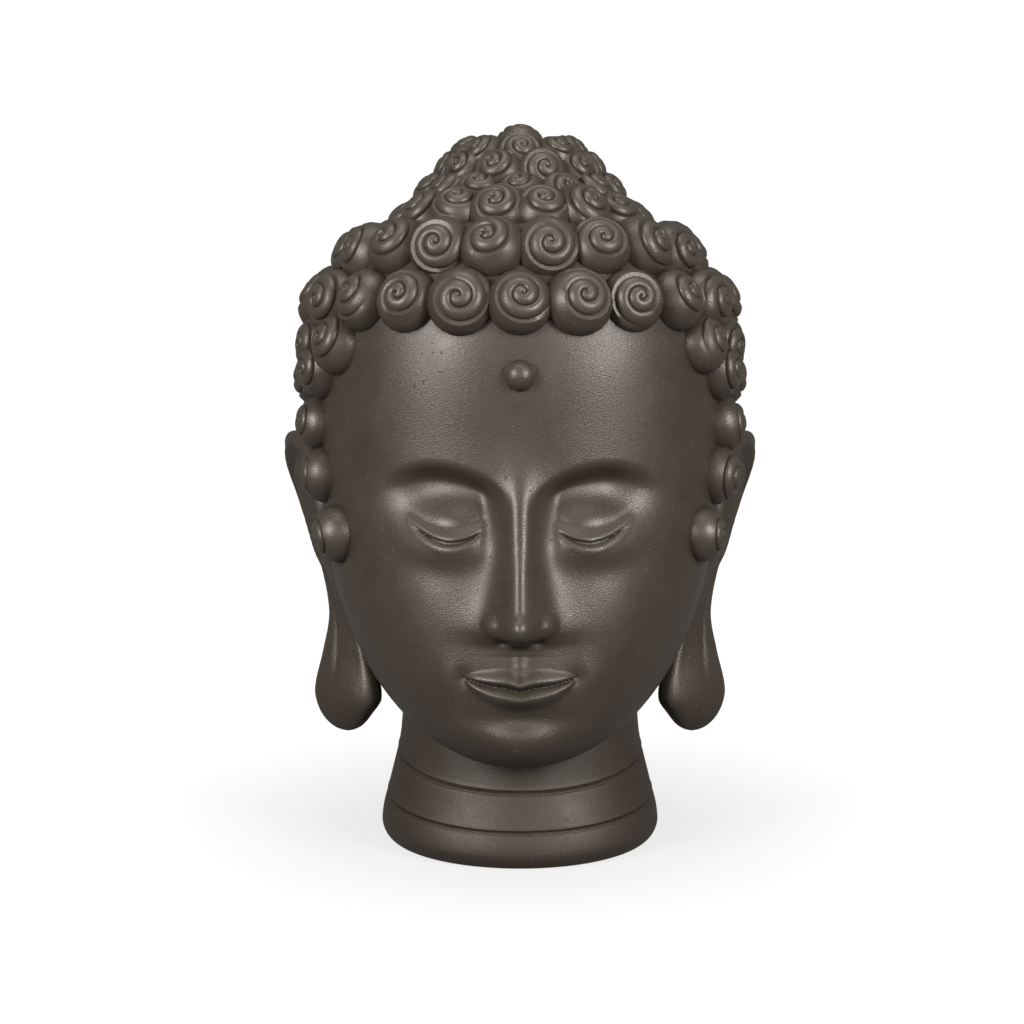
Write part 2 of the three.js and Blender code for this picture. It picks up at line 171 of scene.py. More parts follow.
def curve_through(stations, at):
    """Smooth curve through (place, value) stations: cubic pieces whose slopes come from the neighbours."""
    places, values = np.array(stations, float).T
    slopes = np.empty_like(values)
    slopes[1:-1] = (values[2:] - values[:-2]) / (places[2:] - places[:-2])
    slopes[[0, -1]] = np.diff(values)[[0, -1]] / np.diff(places)[[0, -1]]
    at = np.clip(at, places[0], places[-1])
    i = np.clip(np.searchsorted(places, at) - 1, 0, len(places) - 2)
    step = places[i + 1] - places[i]
    t = (at - places[i]) / step
    ease = t * t * (3 - 2 * t)
    leave = step * slopes[i] * t * (1 - t) ** 2
    arrive = step * slopes[i + 1] * t * t * (1 - t)
    return values[i] + (values[i + 1] - values[i]) * ease + leave - arrive


def spread(low, high, count, density):
    """Places from low to high that crowd together where the density is greater."""
    samples = np.linspace(low, high, 4001)
    sums = np.concatenate([[0], np.cumsum(density((samples[1:] + samples[:-1]) / 2))])
    return np.interp(np.linspace(0, sums[-1], count), sums, samples)


class Head:
    """The head's sizes in millimetres, and the surfaces worked out from them."""

    def __init__(self, sizes):
        for name in HeadSizes.__annotations__:
            setattr(self, name, getattr(sizes, name) / MM)
        third = (self.hairline - self.chin) / 3
        self.brow = self.hairline - third
        self.nose = self.chin + third
        self.eye = self.brow - third / 4
        self.mouth = self.nose - third / 3
        self.tip = self.nose + 9

    def skull(self, theta, z):
        """Egg: superellipse sections, scaled by height and carried forward towards the chin."""
        up = np.clip((z - self.widest) / (self.crown - self.widest), 0, 1)
        down = np.clip((self.widest - z) / (self.widest - self.chin), 0, 1)
        scale = np.where(z < self.widest, np.sqrt(1 - down**2.7), (1 - up**3) ** 0.39)
        depth = np.where(np.cos(theta) > 0, self.front, self.back)
        across = np.abs(np.sin(theta)) / self.half_width
        along = np.abs(np.cos(theta)) / depth
        reach = scale * (across**ROUNDNESS + along**ROUNDNESS) ** (-1 / ROUNDNESS)
        y = -reach * np.cos(theta) - self.chin_forward * down**2.6
        return np.stack([reach * np.sin(theta), y, z + 0 * theta], -1)

    def planes(self, x, z):
        """Broad planes of the face: cheeks, mouth mound, chin and the hollow under the lip.

        Each is a bell across times a bell up and down.
        """
        cheek = 5 * bell(x - 50, 30) * bell(z - self.nose - 16, 36)
        mound = 6 * bell(x, 34) * bell(z - self.mouth - 6, 28)
        chin = 6 * bell(x, 23) * bell(z - self.chin - 17, 14)
        hollow = 4 * bell(x, 21) * bell(z - self.mouth + 17.5, 6.5)
        return cheek + mound + chin - hollow

    def sockets(self, x, z):
        """Hollow under an arched brow line, fading out below the eye and to both sides."""
        brow = self.brow + 12 - 14 * ((np.maximum(x, 8) - 44) / 38) ** 2
        under = smoothstep(-2, 10, brow - z)
        above = np.where(z < self.eye + 2, bell(z - self.eye - 2, 15), 1)
        outer = np.where(x > 44, bell(x - 44, 20), 1)
        return -10.5 * under * above * smoothstep(3, 21, x) * outer

    def lids(self, x, z):
        """Mound over the eye, with a narrow slit along a sagging arc.

        A rim lies on either side of the slit, and a faint crease above it.
        """
        q = ((x - self.eye_width) / 25) ** 2 + ((z - self.eye + 4) / 15) ** 2
        mound = 11 * np.exp(-(q**1.4))
        t = (x - self.eye_width) / (self.eye_width / 2)
        arc = np.clip(1 - t * t, 0, 1)
        line = self.eye - 1 - 6.5 * arc + 1.2 * t
        gap = 3 * arc
        slit = smoothstep(-0.6, 1, line - z) * smoothstep(-0.6, 1, z - line + gap)
        rims = 0.9 * bell(z - line - 1.8, 2.2) + 0.5 * bell(z - line + gap + 2, 2.4)
        crease = 0.4 * bell(z - line - 5.5 - 1.5 * arc, 1.8)
        return mound + smoothstep(1.22, 0.82, np.abs(t)) * (rims - 2 * slit - crease)

    def bridge(self, x, z):
        """Nose: a ridge whose height and width are smooth curves of z.

        Across it stands a narrow bell on one twice as wide.
        """
        reach = self.nose_reach
        height = curve_through(
            [
                (self.nose - 9, 0),
                (self.nose - 4, 3),
                (self.nose, 14),
                (self.tip - 5, reach - 2.5),
                (self.tip, reach),
                (self.tip + 9, reach - 2.5),
                (self.eye - 14, 16),
                (self.brow - 8, 7.5),
                (self.brow + 8, 2.5),
                (self.brow + 22, 0.5),
                (self.brow + 38, 0),
            ],
            z,
        )
        width = curve_through(
            [
                (self.nose - 9, 10.2),
                (self.tip, 11.5),
                (self.eye - 16, 9.3),
                (self.eye, 8),
                (self.brow, 8.6),
                (self.brow + 26, 10.9),
            ],
            z,
        )
        return height * (0.7 * bell(x, width) + 0.3 * bell(x, 2 * width))

    def lips(self, x, z):
        """Closed lips on either side of a seam that lifts at the corners, with the channel above them."""
        u = np.clip(x / self.mouth_half, 0, 1)
        seam = self.mouth + 4.4 * u**2.2 - 1.3 * bell(x, 5)
        v = (z - seam) / (8.6 * (1 - u**2) ** 0.75 + 0.6 - 1.6 * bell(x, 3.6))
        w = (seam - z) / (9.8 * (1 - u**2.4) ** 0.75 + 0.6 - 1.3 * bell(x, 5))
        upper = 4.2 * smoothstep(-0.1, 0.45, v) * smoothstep(1.25, 0.35, v)
        lower = 5 * smoothstep(-0.1, 0.5, w) * smoothstep(1.3, 0.42, w)
        parting = 1.1 * smoothstep(1.1, 0.85, x / self.mouth_half) * bell(z - seam, 1.4)
        corner = 1.3 * bell(x - self.mouth_half - 0.5, 4.5) * bell(z - self.mouth - 4.4, 4.5)
        dimple = 1.2 * bell(x - self.mouth_half - 8, 7) * bell(z - self.mouth - 4, 10)
        channel = 1.4 * bell(x, 3.6) * smoothstep(8, 13, z - self.mouth) * smoothstep(1, 6, self.nose - z)
        return np.sqrt(1 - u * u) * (upper + lower) - parting - corner + dimple - channel

    def relief(self, side, z):
        """How far the face stands forward of the egg: planes, lids, bridge, tip, wings and lips in turn."""
        x = np.abs(side)
        face = self.planes(x, z) + self.sockets(x, z) + self.lids(x, z) + self.bridge(x, z)
        tip = dome(x, z, (0, self.tip + 0.5), (13.5, 12), -20, self.nose_reach + 2)
        wing = dome(x, z, (13, self.nose + 8), (10, 10.5), -20, 15.5)
        face = smooth_max(smooth_max(face, tip, 7), wing, 5)
        nostril = 4.5 * bell(x - 8, 4.5) * bell(z - self.nose + 1, 2.2)
        seat = 0.4 * bell(np.hypot(x, z - self.urna_height) - self.urna_radius - 0.2, 0.6)
        return face - nostril - seat + self.lips(x, z)

    def skin(self):
        """Skull grid with the face's relief pushed forward, fading out round the sides."""

        def rows(h):
            eyes, mouth = bell(h - self.eye + 6, 14), bell(h - self.mouth - 8, 24)
            return 1 + 3 * eyes + 3 * mouth + 5 * bell(h - self.chin, 5)

        theta = spread(-math.pi, math.pi, 231, lambda a: 1 + 7 * bell(a, 0.55))[1:]
        theta, z = np.meshgrid(theta, spread(self.chin + 0.15, self.crown - 0.3, 250, rows))
        points = self.skull(theta, z)
        points[..., 1] -= self.relief(points[..., 0], z) * smoothstep(0.05, 0.45, np.cos(theta))
        return points

    def neck(self):
        """Turned neck: radius by height at the side, a rounded foot and two folds that dip to the front.

        A fold is a narrow groove with a lip above it and a fainter groove below it.
        """
        folds = (self.fold_low, self.fold_high)

        def rows(h):
            return 1 + 9 * sum(bell(h - fold, 4) for fold in folds) + 3 * bell(h, 10)

        turn = np.linspace(0, 2 * math.pi, 108, endpoint=False)
        theta, s = np.meshgrid(turn, spread(0, NECK_TOP, 130, rows))
        foot = 1 - np.clip(s / FOOT_HEIGHT, 0, 1)
        radius = curve_through(NECK_PROFILE, s) - FOOT_ROUND * (1 - np.sqrt(1 - foot**2))
        for fold in folds:
            for offset, rise, width in FOLD_PARTS:
                radius = radius + rise * bell(s - fold - offset, width)
        height = s - self.fold_dip * smoothstep(0, self.fold_high, s) * np.cos(theta)
        return np.stack([radius * np.sin(theta), -radius * np.cos(theta), height], -1)

    def boss(self):
        """Ball on the forehead, set a little deeper than half into it."""
        theta, lat = np.meshgrid(np.linspace(0, 2 * math.pi, 40, endpoint=False), np.linspace(-1.5, 1.5, 21))
        centre = self.skull(np.zeros(1), np.array([self.urna_height]))[0]
        ball = np.stack([np.cos(lat) * np.sin(theta), -np.cos(lat) * np.cos(theta), np.sin(lat)], -1)
        return centre + self.urna_radius * ball


# Ear: height, front edge, back edge and half thickness, from the lobe to the tip
EAR_STATIONS = (
    (60, (85, -11), (113, 11), 8.5),
    (71, (83, -15), (115, 13), 9.3),
    (82, (79, -19), (115.5, 14.5), 9.5),
    (105, (84, -14), (110, 12), 7.5),
    (128, (91, -10), (106, 16), 6.5),
    (160, (102, -10), (113, 30), 6),
    (195, (108, -12), (126, 44), 6),
    (229, (113, 2), (139, 36), 5.5),
)


def ear_relief(u, z):
    """Rim, inner ridge, hollow and front flap of the outer side, and the groove down the lobe."""
    ring = np.hypot(u, (z - 190) / 40)
    rim = 2.2 * bell(ring - 0.86, 0.13) - 2.6 * bell(ring - 0.64, 0.12)
    inner = 1.2 * bell(ring - 0.45, 0.1) * smoothstep(-0.2, 0.3, u)
    hollow = 5.5 * bell(u + 0.18, 0.3) * bell(z - 178, 17)
    flap = 3 * bell(u + 0.72, 0.2) * bell(z - 172, 9)
    line = 1.3 * bell(u - 0.15, 0.09) + 0.9 * smoothstep(0.2, 0.05, u) * smoothstep(-0.95, -0.6, u)
    groove = line * smoothstep(84, 104, z) * smoothstep(170, 150, z)
    return smoothstep(140, 165, z) * (rim + inner - hollow + flap) - groove


def ear_surface(side):
    """Flattened oval section between a front and a back edge, closing at the lobe and at the tip."""
    phi, s = np.meshgrid(np.linspace(0, -2 * math.pi, 64, endpoint=False), np.linspace(0.004, 0.996, 90))
    low, high = EAR_STATIONS[0][0], EAR_STATIONS[-1][0]
    swing = np.cos(math.pi * s)
    z = (low + high) / 2 - (high - low) / 2 * swing
    closing = np.sqrt(1 - np.abs(swing) ** 9)

    def by_height(pick):
        """One number of the stations as a smooth curve of the height."""
        return curve_through([(station[0], pick(station)) for station in EAR_STATIONS], z)

    front = np.stack([by_height(lambda station: station[1][k]) for k in (0, 1)], -1)
    back = np.stack([by_height(lambda station: station[2][k]) for k in (0, 1)], -1)
    half = (back - front) / 2
    outward = np.stack([half[..., 1], -half[..., 0]], -1) / np.linalg.norm(half, axis=-1, keepdims=True)
    u, n = np.cos(phi), np.sin(phi)
    thickness = np.sign(n) * np.abs(n) ** 0.6 * by_height(lambda station: station[3])
    out = closing * (thickness + smoothstep(0, 0.5, n) * ear_relief(u, z))
    plan = (front + back) / 2 + half * (u * closing)[..., None] + outward * out[..., None]
    points = np.concatenate([plan, z[..., None]], -1)
    return points if side > 0 else (points * (-1, 1, 1))[:, ::-1]


# Rows of curls: height at the hairline and at the back, hairline angle, radius, spacing and lean of the axis
CURL_RINGS = (
    (352, 343, 0, 16.4, 31, 50),
    (334, 327, 0, 17.6, 30, 28),
    (307, 303, 0, 17.6, 30.5, 22),
    (283, 275, 62, 16.4, 30, 10),
    (268, 247, 73, 16.2, 32, 6),
    (237, 219, 80, 16, 33, 2),
    (210, 191, 75, 16, 33, 0),
    (180, 163, 66, 15.8, 33, -5),
    (136, 136, 120, 15, 32, -20),
)
# Rows seated on the crown, counted from the top
CROWN_RINGS = 2
# Angle where a row starts to sag to its back height, and the angle it takes
RING_DROP = (40, 45)
# Share by which curls grow towards the back, and the angles between which they do
BACK_GROWTH = (0.2, 69, 120)
# Below this height no curl lies between these two angles, where the ear is
EAR_TOP = 243
EAR_ANGLES = (81, 113)

# Rows of curls on the bun: reach, height, number in the row, share of a step it is turned by, radius, lean
BUN_RINGS = (
    (46, 361, 13, 0.0, 14.5, 50),
    (36, 373, 10, 0.5, 14, 33),
    (27, 382, 8, 0.0, 13, 53),
    (0, 388.5, 1, 0.0, 14, 90),
)


class Hair:
    """Places of the curls on the skull and on the bun."""

    def __init__(self, sizes, head):
        self.head = head
        for name in ("bun_back", "bun_height", "bun_radius", "bun_rise"):
            setattr(self, name, getattr(sizes, name) / MM)
        self.turns = sizes.turns

    def growth(self, theta):
        """Share by which the curls are larger towards the back."""
        share, start, end = BACK_GROWTH
        return share * smoothstep(start, end, np.degrees(np.abs(theta)))

    def ring_angles(self, back, start, spacing, first, last):
        """Angles that share out one side of a row by arc length, wider apart where the curls are larger."""
        theta = np.linspace(math.radians(start), math.pi, 401)
        arc = np.linalg.norm(np.diff(self.head.skull(theta, np.full_like(theta, back)), axis=0), axis=1)
        arc /= 1 + self.growth(theta[:-1])
        lengths = np.concatenate([[0], np.cumsum(arc)])
        steps = round(lengths[-1] / spacing - first - last)
        pitch = lengths[-1] / (steps + first + last)
        return np.interp((np.arange(steps + 1) + first) * pitch, lengths, theta)

    def on_skull(self):
        """Centres, axes and radii on the skull: each row blends from its front height to its back height."""
        angles, heights, seats, radii, leans = [], [], [], [], []
        for k, (front, back, start, radius, spacing, lean) in enumerate(CURL_RINGS):
            theta = self.ring_angles(back, start, spacing, 0.5 if k < CROWN_RINGS else 0.0, 0.5 * (k % 2))
            begin = max(start, RING_DROP[0])
            z = front + (back - front) * smoothstep(begin, begin + RING_DROP[1], np.degrees(theta))
            seat = np.full_like(z, front) if k < CROWN_RINGS else z
            turn = np.degrees(theta)
            by_ear = (z < EAR_TOP) & (turn > EAR_ANGLES[0]) & (turn < EAR_ANGLES[1])
            theta, z, seat = theta[~by_ear], z[~by_ear], seat[~by_ear]
            paired = (theta > 1e-3) & (theta < math.pi - 1e-3)
            count = len(z) + paired.sum()
            angles += [theta, -theta[paired]]
            heights += [z, z[paired]]
            seats += [seat, seat[paired]]
            radii += [np.full(count, radius)]
            leans += [np.full(count, math.radians(lean))]
        theta, z, seat, lean = (np.concatenate(parts) for parts in (angles, heights, seats, leans))
        across = self.head.skull(theta + 0.01, seat) - self.head.skull(theta - 0.01, seat)
        out = np.stack([across[:, 1], -across[:, 0]], -1)
        out *= (np.cos(lean) / np.linalg.norm(out, axis=1))[:, None]
        axis = np.concatenate([out, np.sin(lean)[:, None]], 1)
        centre = self.head.skull(theta, seat)
        centre[:, 2] = z
        return centre, axis, np.concatenate(radii) * (1 + self.growth(theta))

    def on_bun(self):
        """Centres, axes and radii on the bun: rings about its own axis."""
        centres, axes, radii = [], [], []
        for reach, height, count, turn, radius, lean in BUN_RINGS:
            azimuth = 2 * math.pi * (np.arange(count) + turn) / count
            out = np.stack([np.sin(azimuth), -np.cos(azimuth), 0 * azimuth], -1)
            centres.append(out * reach + (0, self.bun_back, height))
            axes.append(out * math.cos(math.radians(lean)) + (0, 0, math.sin(math.radians(lean))))
            radii.append(np.full(count, radius))
        return np.concatenate(centres), np.concatenate(axes), np.concatenate(radii)

    def places(self):
        """Every curl's centre, axis and radius."""
        return [np.concatenate(pair) for pair in zip(self.on_skull(), self.on_bun())]

    def crowding(self, points, rank):
        """1 between curls that touch and 0 in the open. Shade is painted where it is high.

        It falls as the distance to a curl's centre, over the curl's radius, grows. The rank says which curl,
        counted from the nearest one, so that a curl's own points can skip it.
        """
        centres, _, radii = self.places()
        square = (points**2).sum(1)[:, None] - 2 * points @ centres.T + (centres**2).sum(1)
        nearness = np.sqrt(np.maximum(square, 0)) / radii
        return smoothstep(1.25, 0.92, np.partition(nearness, rank, axis=1)[:, rank])

    def groove(self, phi):
        """Angle from the curl's axis to the groove: a power of the turning angle, then a run to the root."""
        total = 2 * math.pi * self.turns
        wound = 62 * np.clip(phi / total, 0, 1) ** 1.2
        return np.radians(wound + 68 * smoothstep(total, total + 1.4, phi))

    def notch(self, phi, distance, reach):
        """1 on the band and 0 in the groove: a quarter circle of that reach, fading at the groove's end."""
        total = 2 * math.pi * self.turns
        depth = 1 - smoothstep(total - 1.5, total + 0.3, phi)
        t = np.clip(distance / reach, 0, 1)
        return 1 - depth * (1 - np.sqrt(t * (2 - t)))

    def curl(self):
        """One curl of unit radius: a ball with a spiral groove, as a band wound from the centre to the root.

        Along the band runs the turning angle phi, and across it w, from the groove one turn earlier to the
        groove itself. The band drops steeply at its inner edge and slopes gently to its outer edge.
        """
        phi = np.arange(round((self.turns + 1.25) * CURL_STEPS) + 1) * 2 * math.pi / CURL_STEPS
        phi, w = np.meshgrid(phi, (1 - np.cos(np.linspace(0, math.pi, BAND_POINTS))) / 2, indexing="ij")
        inner, outer = self.groove(phi - 2 * math.pi), self.groove(phi)
        beta = inner + (outer - inner) * w
        edge = self.notch(phi - 2 * math.pi, beta - inner, 0.15) * self.notch(phi, outer - beta, 0.34)
        swell = 0.87 + 0.13 * edge
        rho = np.where(beta < math.pi / 2, np.sin(beta), 1 - 0.3 * (beta - math.pi / 2) ** 2)
        x, y = swell * rho * np.cos(phi), swell * rho * np.sin(phi)
        return np.stack([x, y, 0.84 * swell * np.cos(beta)], -1)

    def core(self):
        """Flattened ball under the bun's curls."""
        theta, lat = np.meshgrid(np.linspace(0, 2 * math.pi, 64, endpoint=False), np.linspace(-0.6, 1.55, 24))
        ball = np.stack([np.cos(lat) * np.sin(theta), -np.cos(lat) * np.cos(theta)], -1) * self.bun_radius
        height = self.bun_height + self.bun_rise * np.sin(lat)
        return np.concatenate([ball, height[..., None]], -1) + (0, self.bun_back, 0)

    def curls(self):
        """Points of all curls as one array.

        Each is spun by a further golden angle, and sines of its number tilt and size it by a few percent.
        """
        centres, axes, radii = self.places()
        index = np.arange(len(radii))
        spin = index * GOLDEN_ANGLE
        side = np.cross((0.0, 0.0, 1.0), axes)
        side[np.linalg.norm(side, axis=1) < 1e-6] = (1.0, 0.0, 0.0)
        side /= np.linalg.norm(side, axis=1, keepdims=True)
        tilt = 0.2 * np.sin(index[:, None] * (2.3, 3.7))
        axes = axes + side * tilt[:, :1] + np.cross(axes, side) * tilt[:, 1:]
        axes /= np.linalg.norm(axes, axis=1, keepdims=True)
        a = side * np.cos(spin)[:, None] + np.cross(axes, side) * np.sin(spin)[:, None]
        b = np.cross(axes, a)
        a = np.cross(b, axes)
        sizes = radii * (1 + 0.035 * np.sin(index * 1.9))
        basis = np.stack([a, b, axes], 1) * sizes[:, None, None]
        return centres[:, None, None] + np.einsum("ijk,nkl->nijl", self.curl(), basis)


def ring_shell(points):
    """Vertices, quads and triangles of a closed shell over rings of points, with a pole at either end."""
    rows, columns = points.shape[:2]
    ids = np.arange(rows * columns).reshape(rows, columns)
    turned = np.roll(ids, -1, axis=1)
    quads = np.stack([ids[:-1], turned[:-1], turned[1:], ids[1:]], -1).reshape(-1, 4)
    pole = np.full(columns, rows * columns)
    below = np.stack([turned[0], ids[0], pole], -1)
    above = np.stack([ids[-1], turned[-1], pole + 1], -1)
    poles = np.stack([points[0].mean(0), points[-1].mean(0)])
    return np.concatenate([points.reshape(-1, 3), poles]), quads, np.concatenate([below, above])


def spiral_shells(points, per_turn):
    """Vertices, quads and triangles of many closed curls, each a band wound in a spiral.

    A band's inner edge is the outer edge one turn earlier, its first row is the pole, and the outer edge of
    its last turn is the root, which a fan closes.
    """
    count, rows, columns = points.shape[:3]
    ids = np.arange(rows * columns).reshape(rows, columns)
    ids[per_turn:, 0] = ids[:-per_turn, -1]
    ids[-1] = ids[-1 - per_turn, -1]
    ids[0] = ids[: per_turn + 1, 0] = 0
    root = ids[-1 - per_turn : -1, -1]
    fan = np.stack([np.roll(root, -1), root, np.full(per_turn, rows * columns)], -1)
    grid = np.stack([ids[:-1, :-1], ids[:-1, 1:], ids[1:, 1:], ids[1:, :-1]], -1).reshape(-1, 4)
    double = grid == np.roll(grid, -1, axis=1)
    quads = grid[double.sum(1) == 0]
    halves = double.sum(1) == 1
    triangles = np.concatenate([grid[halves][~double[halves]].reshape(-1, 3), fan])
    used = np.unique(np.concatenate([quads.ravel(), triangles.ravel()]))
    middle = points[:, -1 - per_turn : -1, -1].mean(1, keepdims=True)
    vertices = np.concatenate([points.reshape(count, -1, 3), middle], 1)[:, used]
    start = np.arange(count)[:, None, None] * len(used)
    quads, triangles = (start + np.searchsorted(used, faces) for faces in (quads, triangles))
    return vertices.reshape(-1, 3), quads.reshape(-1, 4), triangles.reshape(-1, 3)


def make_piece(name, shells, material):
    """One mesh object from several closed shells in millimetres, with creases where it bends sharply."""
    starts = np.cumsum([0, *(len(points) for points, _, _ in shells)])
    faces = [part + start for shell, start in zip(shells, starts) for part in shell[1:]]
    vertices = np.concatenate([points for points, _, _ in shells]) * MM
    mesh = bpy.data.meshes.new(name)
    mesh.from_pydata(vertices.tolist(), [], [face for part in faces for face in part.tolist()])
    mesh.shade_smooth()
    mesh.set_sharp_from_angle(angle=CREASE)
    mesh.materials.append(material)
    piece = bpy.data.objects.new(name, mesh)
    bpy.context.scene.collection.objects.link(piece)
    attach(piece, BODY)
    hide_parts(NODE)
    return piece


class Wire:
    """A node's output socket that takes part in Python sums, each of which adds a Math node."""

    def __init__(self, graph, socket):
        self.graph = graph
        self.socket = socket

    def math(self, operation, *values):
        """Adds a Math node with these values or wires."""
        return self.graph.node("ShaderNodeMath", {"operation": operation}, dict(enumerate(values)))

    def __add__(self, other):
        return self.math("ADD", self, other)

    def __sub__(self, other):
        return self.math("SUBTRACT", self, other)

    def __rsub__(self, other):
        return self.math("SUBTRACT", other, self)

    def __mul__(self, other):
        return self.math("MULTIPLY", self, other)

    __radd__ = __add__
    __rmul__ = __mul__


class Graph:
    """Node tree of one material."""

    def __init__(self, name):
        self.material = bpy.data.materials.new(name)
        self.material.use_nodes = True
        self.tree = self.material.node_tree
        self.shader = self.tree.nodes["Principled BSDF"]

    def node(self, kind, settings=None, inputs=None, output=0):
        """Adds a node, sets its settings and ramp stops, then its sockets, and returns one output."""
        made = self.tree.nodes.new(kind)
        for name, value in (settings or {}).items():
            if name == "stops":
                self.set_stops(made.color_ramp, value)
            else:
                setattr(made, name, value)
        for name, value in (inputs or {}).items():
            self.feed(made.inputs[name], value)
        return Wire(self, made.outputs[output])

    def set_stops(self, ramp, stops):
        """Gives a ramp its grey stops, in rising order."""
        for element, (place, value) in zip(ramp.elements, stops):
            element.position = place
            element.color = (value, value, value, 1)

    def feed(self, socket, value):
        """Links a wire to a socket, or sets the socket to a value."""
        if isinstance(value, Wire):
            self.tree.links.new(value.socket, socket)
        else:
            socket.default_value = value


def resin_material(finish):
    """Satin cast resin: mottled body colour, rubbed ridges, shade painted into grooves, between curls and low
    on the neck, and a fine hand-worked skin.
    """
    graph = Graph("cast_resin")
    place = graph.node("ShaderNodeTexCoord", output="Object")

    def noise(scale, detail, roughness=0.5):
        """Noise with this many waves to a metre."""
        inputs = {"Vector": place, "Scale": scale, "Detail": detail, "Roughness": roughness}
        return graph.node("ShaderNodeTexNoise", inputs=inputs, output="Fac")

    def ramp(value, low, high):
        """Grey ramp between two values of its input."""
        settings = {"stops": sorted(((low, 0.0), (high, 1.0)))}
        return graph.node("ShaderNodeValToRGB", settings, {"Fac": value})

    def mix(amount, first, second):
        """Blend of two colours."""
        inputs = {"Factor": amount, 6: first, 7: second}
        return graph.node("ShaderNodeMix", {"data_type": "RGBA"}, inputs, output=2)

    def strokes(turn):
        """Noise drawn out along one direction, as a brush leaves it."""
        inputs = {"Vector": place, "Rotation": (0.3, turn, 0.2), "Scale": (600, 800, 1700)}
        inputs = {"Vector": graph.node("ShaderNodeMapping", inputs=inputs), "Scale": 1.0, "Detail": 2.0}
        return graph.node("ShaderNodeTexNoise", inputs=inputs, output="Fac")

    mottle = ramp(noise(38, 5, 0.6), 0.35, 0.7)
    grain = noise(1100, 2)
    skin = noise(420, 3, 0.55)
    sweep = ramp(noise(22, 2), 0.42, 0.58)
    brushed = strokes(0.7) * sweep + strokes(-0.9) * (1 - sweep)
    specks = ramp(noise(700, 0), 0.79, 0.83)
    pits = ramp(noise(430, 1), 0.27, 0.22)
    worn = graph.node("ShaderNodeAttribute", {"attribute_name": "worn"}, output="Fac")
    # Low on the neck: rougher, and darker in colour as painted shade under the head
    dull_and_shade = ramp(graph.node("ShaderNodeSeparateXYZ", inputs={"Vector": place}, output="Z"), 0.09, 0.05)
    rubbed = ramp(worn + 0.25 * (grain - 0.5), 0.55, 0.85)
    # Mask of painted shade: 1 in grooves and between curls, where worn is low
    recess_shade = ramp(worn, 0.45, 0.2)
    body = tuple(finish.body)
    shade = tuple(0.86 * value for value in body)
    colour = mix(mottle, (*shade, 1), (*body, 1))
    colour = mix(rubbed * 0.22, colour, (*finish.worn, 1))
    # Painted shade in grooves and between curls
    colour = mix(recess_shade * 0.65, colour, (*finish.recess_shade, 1))
    # Painted shade low on the neck
    colour = mix(dull_and_shade * 0.7, colour, (*finish.neck, 1))
    colour = mix(specks * 0.3, colour, (*finish.speck, 1))
    colour = mix(pits * 0.6, colour, (*finish.pit, 1))
    height = 0.55 * brushed + 0.12 * skin + 0.25 * grain - 0.7 * pits
    bump = graph.node("ShaderNodeBump", inputs={"Strength": 0.42, "Distance": 0.0006, "Height": height})
    uneven = 0.10 * (mottle - 0.5) + 0.10 * (brushed - 0.5)
    rough = finish.roughness + uneven + 0.08 * recess_shade + 0.14 * dull_and_shade
    graph.feed(graph.shader.inputs["Base Color"], colour)
    graph.feed(graph.shader.inputs["Roughness"], rough)
    graph.feed(graph.shader.inputs["Normal"], bump)
    graph.shader.inputs["Specular IOR Level"].default_value = 0.5
    return graph.material


def sheet_material():
    """Pale paper sweep that glows, less so where the head stands: a soft shadow painted into its glow."""
    graph = Graph("pale_sweep")
    place = graph.node("ShaderNodeTexCoord", output="Object")
    away = graph.node("ShaderNodeVectorMath", {"operation": "LENGTH"}, {0: place}, output="Value")
    # Painted shadow: the glow is dimmer near the head's foot
    glow = graph.node("ShaderNodeValToRGB", {"stops": ((0.1, 0.75), (0.36, 1.0))}, {"Fac": away})
    graph.feed(graph.shader.inputs["Emission Color"], glow)
    graph.shader.inputs["Emission Strength"].default_value = 1.0
    graph.shader.inputs["Base Color"].default_value = (0.12, 0.126, 0.134, 1)
    graph.shader.inputs["Roughness"].default_value = 0.9
    graph.shader.inputs["Specular IOR Level"].default_value = 0.0
    return graph.material


def mark_wear_and_shade(piece, gain, hair, rank):
    """Attribute worn: 0.5 on flat skin, more on rubbed ridges and less in grooves and between curls, where
    its low values set painted shade.

    The bend at a vertex is its distance, along its normal, from the average of its neighbours, over the
    square of their distance. It is averaged over neighbours a few times, times a gain and squeezed into
    0 to 1.
    """
    mesh = piece.data
    count = len(mesh.vertices)
    points = np.empty(count * 3)
    normals = np.empty(count * 3)
    edges = np.empty(len(mesh.edges) * 2, dtype=int)
    mesh.vertices.foreach_get("co", points)
    mesh.vertices.foreach_get("normal", normals)
    mesh.edges.foreach_get("vertices", edges)
    points, normals = points.reshape(-1, 3), normals.reshape(-1, 3)
    a, b = edges.reshape(-1, 2).T
    degree = np.maximum(np.bincount(a, minlength=count) + np.bincount(b, minlength=count), 1)

    def gather(values):
        """Average of a value over each vertex's neighbours."""
        total = np.bincount(a, values[b], count) + np.bincount(b, values[a], count)
        return total / degree

    centre = np.stack([gather(points[:, k]) for k in range(3)], -1)
    span = np.linalg.norm(points[a] - points[b], axis=1)
    reach = (np.bincount(a, span**2, count) + np.bincount(b, span**2, count)) / degree
    bend = ((points - centre) * normals).sum(1) / np.maximum(reach, 1e-9) * 4 * MM
    for _ in range(3):
        bend = 0.5 * bend + 0.5 * gather(bend)
    # Worn is lowered between crowded curls, which paints shade in the gaps between them
    worn = 0.5 + 0.5 * np.tanh(bend * gain) - 0.35 * hair.crowding(points / MM, rank)
    layer = mesh.attributes.new("worn", "FLOAT", "POINT")
    layer.data.foreach_set("value", worn)


